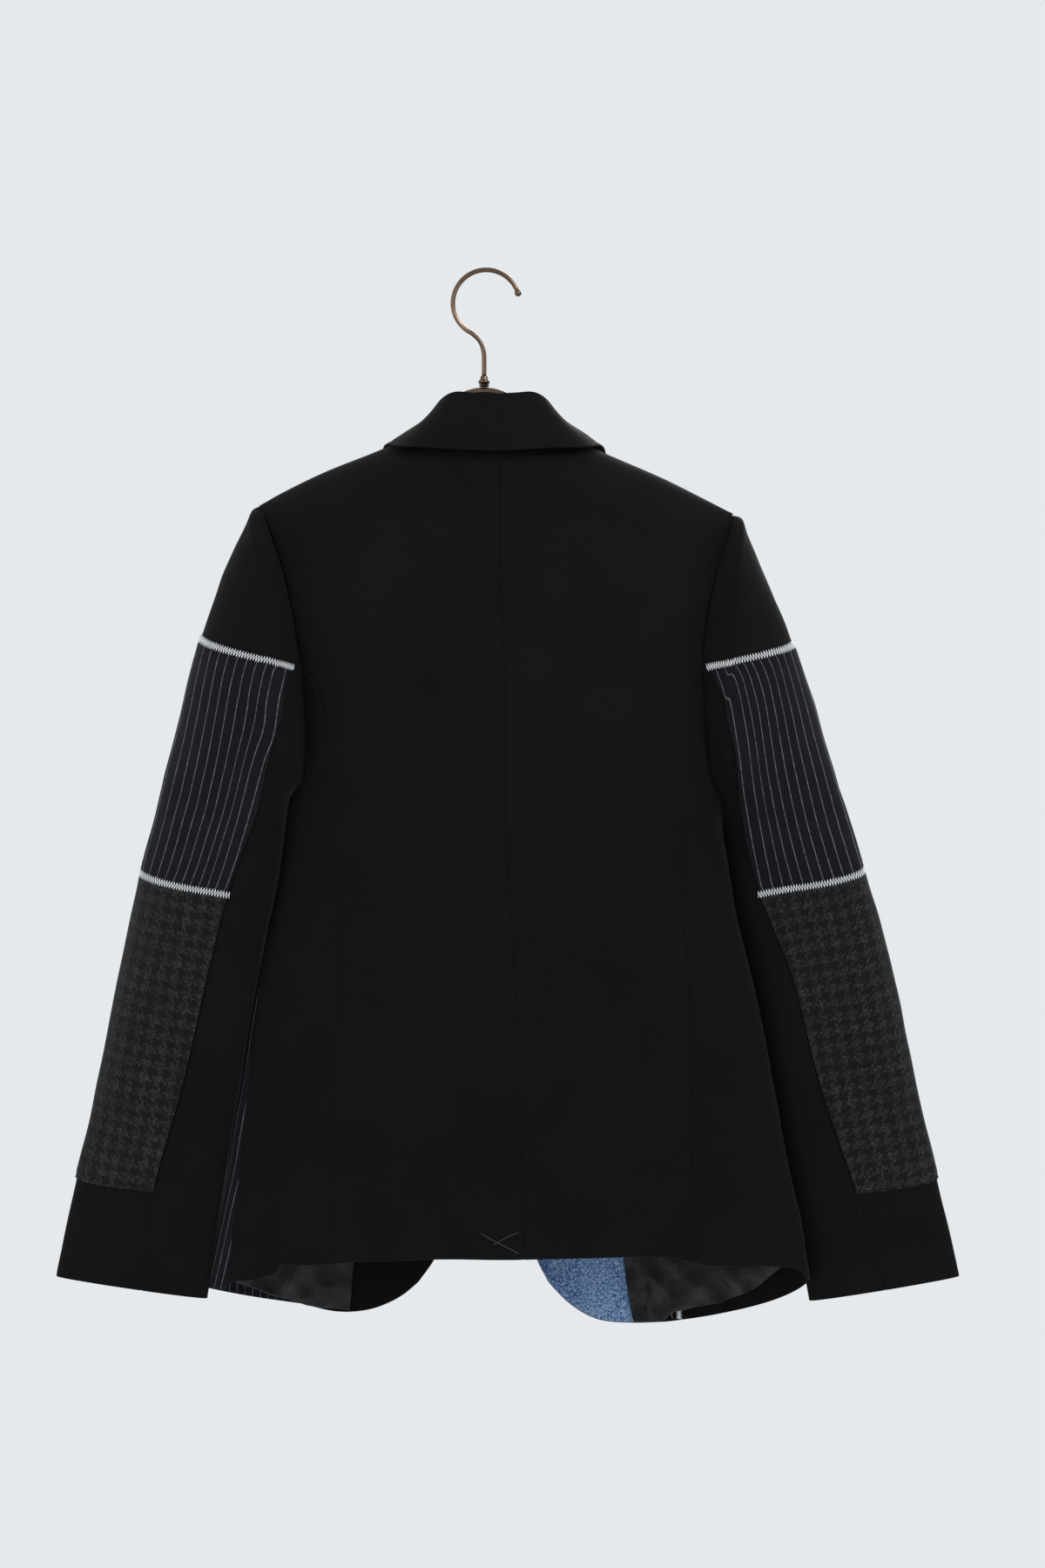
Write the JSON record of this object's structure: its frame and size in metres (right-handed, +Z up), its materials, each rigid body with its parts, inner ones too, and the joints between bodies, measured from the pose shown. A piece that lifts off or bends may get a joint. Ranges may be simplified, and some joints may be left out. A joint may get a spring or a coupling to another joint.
{
  "type": "patchwork blazer on a hanger",
  "caption": "Hip-length tailored blazer with patched sleeves, a centre vent, notch lapels and a turned-down collar, hanging open-cuffed on a shaped wire hanger.",
  "frame": {"origin": "inside top of the hanger's hook, where it rests on a rail or pin", "axes": "+Z up, the coat's back faces -Y and its front faces +Y, +X towards the wearer's right"},
  "size_m": [0.7164, 0.119, 0.8424],
  "materials": {
    "suiting": "near-black fine wool suiting, matte",
    "pinstripe": "dark navy suiting with fine pale broken stripes",
    "houndstooth": "soft grey and black houndstooth wool",
    "denim": "mid-blue flecked denim",
    "satin": "black satin lining",
    "horn": "dark horn-like button",
    "bronze": "antique bronze metal"
  },
  "bodies": {
    "root": {"back_left": "suiting", "side_left": "suiting", "front_left": "suiting", "lapel_left": "suiting", "sleeve_top_left": "suiting", "sleeve_under_left": "suiting", "patch_pinstripe_left": "pinstripe", "patch_houndstooth_left": "houndstooth", "lining_left": "satin", "back_right": "suiting", "side_right": "suiting", "front_right": "suiting", "lapel_right": "suiting", "sleeve_top_right": "suiting", "sleeve_under_right": "suiting", "patch_pinstripe_right": "pinstripe", "patch_houndstooth_right": "houndstooth", "lining_right": "satin", "front_side_left": "pinstripe", "front_side_right": "suiting", "facing_left": "suiting", "back_vent_underlay": "suiting", "collar": "suiting", "facing_right": "denim", "button_1": "horn", "button_2": "horn", "hanger_hook": "bronze", "hanger_ferrule": "bronze", "hanger_bar": "bronze"}
  },
  "joints": []
}
